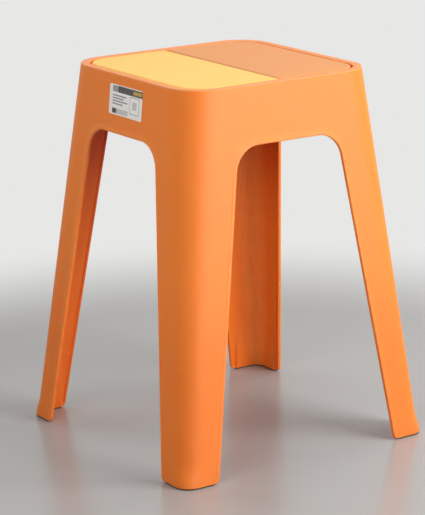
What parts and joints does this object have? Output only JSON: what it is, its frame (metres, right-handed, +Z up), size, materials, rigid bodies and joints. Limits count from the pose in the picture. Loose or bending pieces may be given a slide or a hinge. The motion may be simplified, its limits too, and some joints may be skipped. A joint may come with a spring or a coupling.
{
  "type": "stacking stool",
  "caption": "Square plastic stacking stool: splayed L-section legs and arched aprons moulded in one shell, a split-colour snap-in seat in a raised rim, rubber foot grips.",
  "frame": {"origin": "on the floor under the middle of the seat", "axes": "+Z up, -Y to the front, the yellow half of the seat and the sticker on the -X side"},
  "size_m": [0.3684, 0.3684, 0.47],
  "materials": {
    "shell_plastic": "satin moulded polypropylene, orange",
    "seat_yellow_plastic": "fine spark-eroded texture, pale yellow",
    "seat_orange_plastic": "fine spark-eroded texture, soft orange",
    "grip_rubber": "matte soft rubber, dark brown",
    "sticker_paper": null
  },
  "bodies": {
    "root": {"stool_shell": "shell_plastic", "seat_panel_yellow": "seat_yellow_plastic", "seat_panel_orange": "seat_orange_plastic", "sticker": "sticker_paper", "foot_grip_front_left": "grip_rubber", "foot_grip_front_right": "grip_rubber", "foot_grip_back_right": "grip_rubber", "foot_grip_back_left": "grip_rubber"}
  },
  "joints": []
}
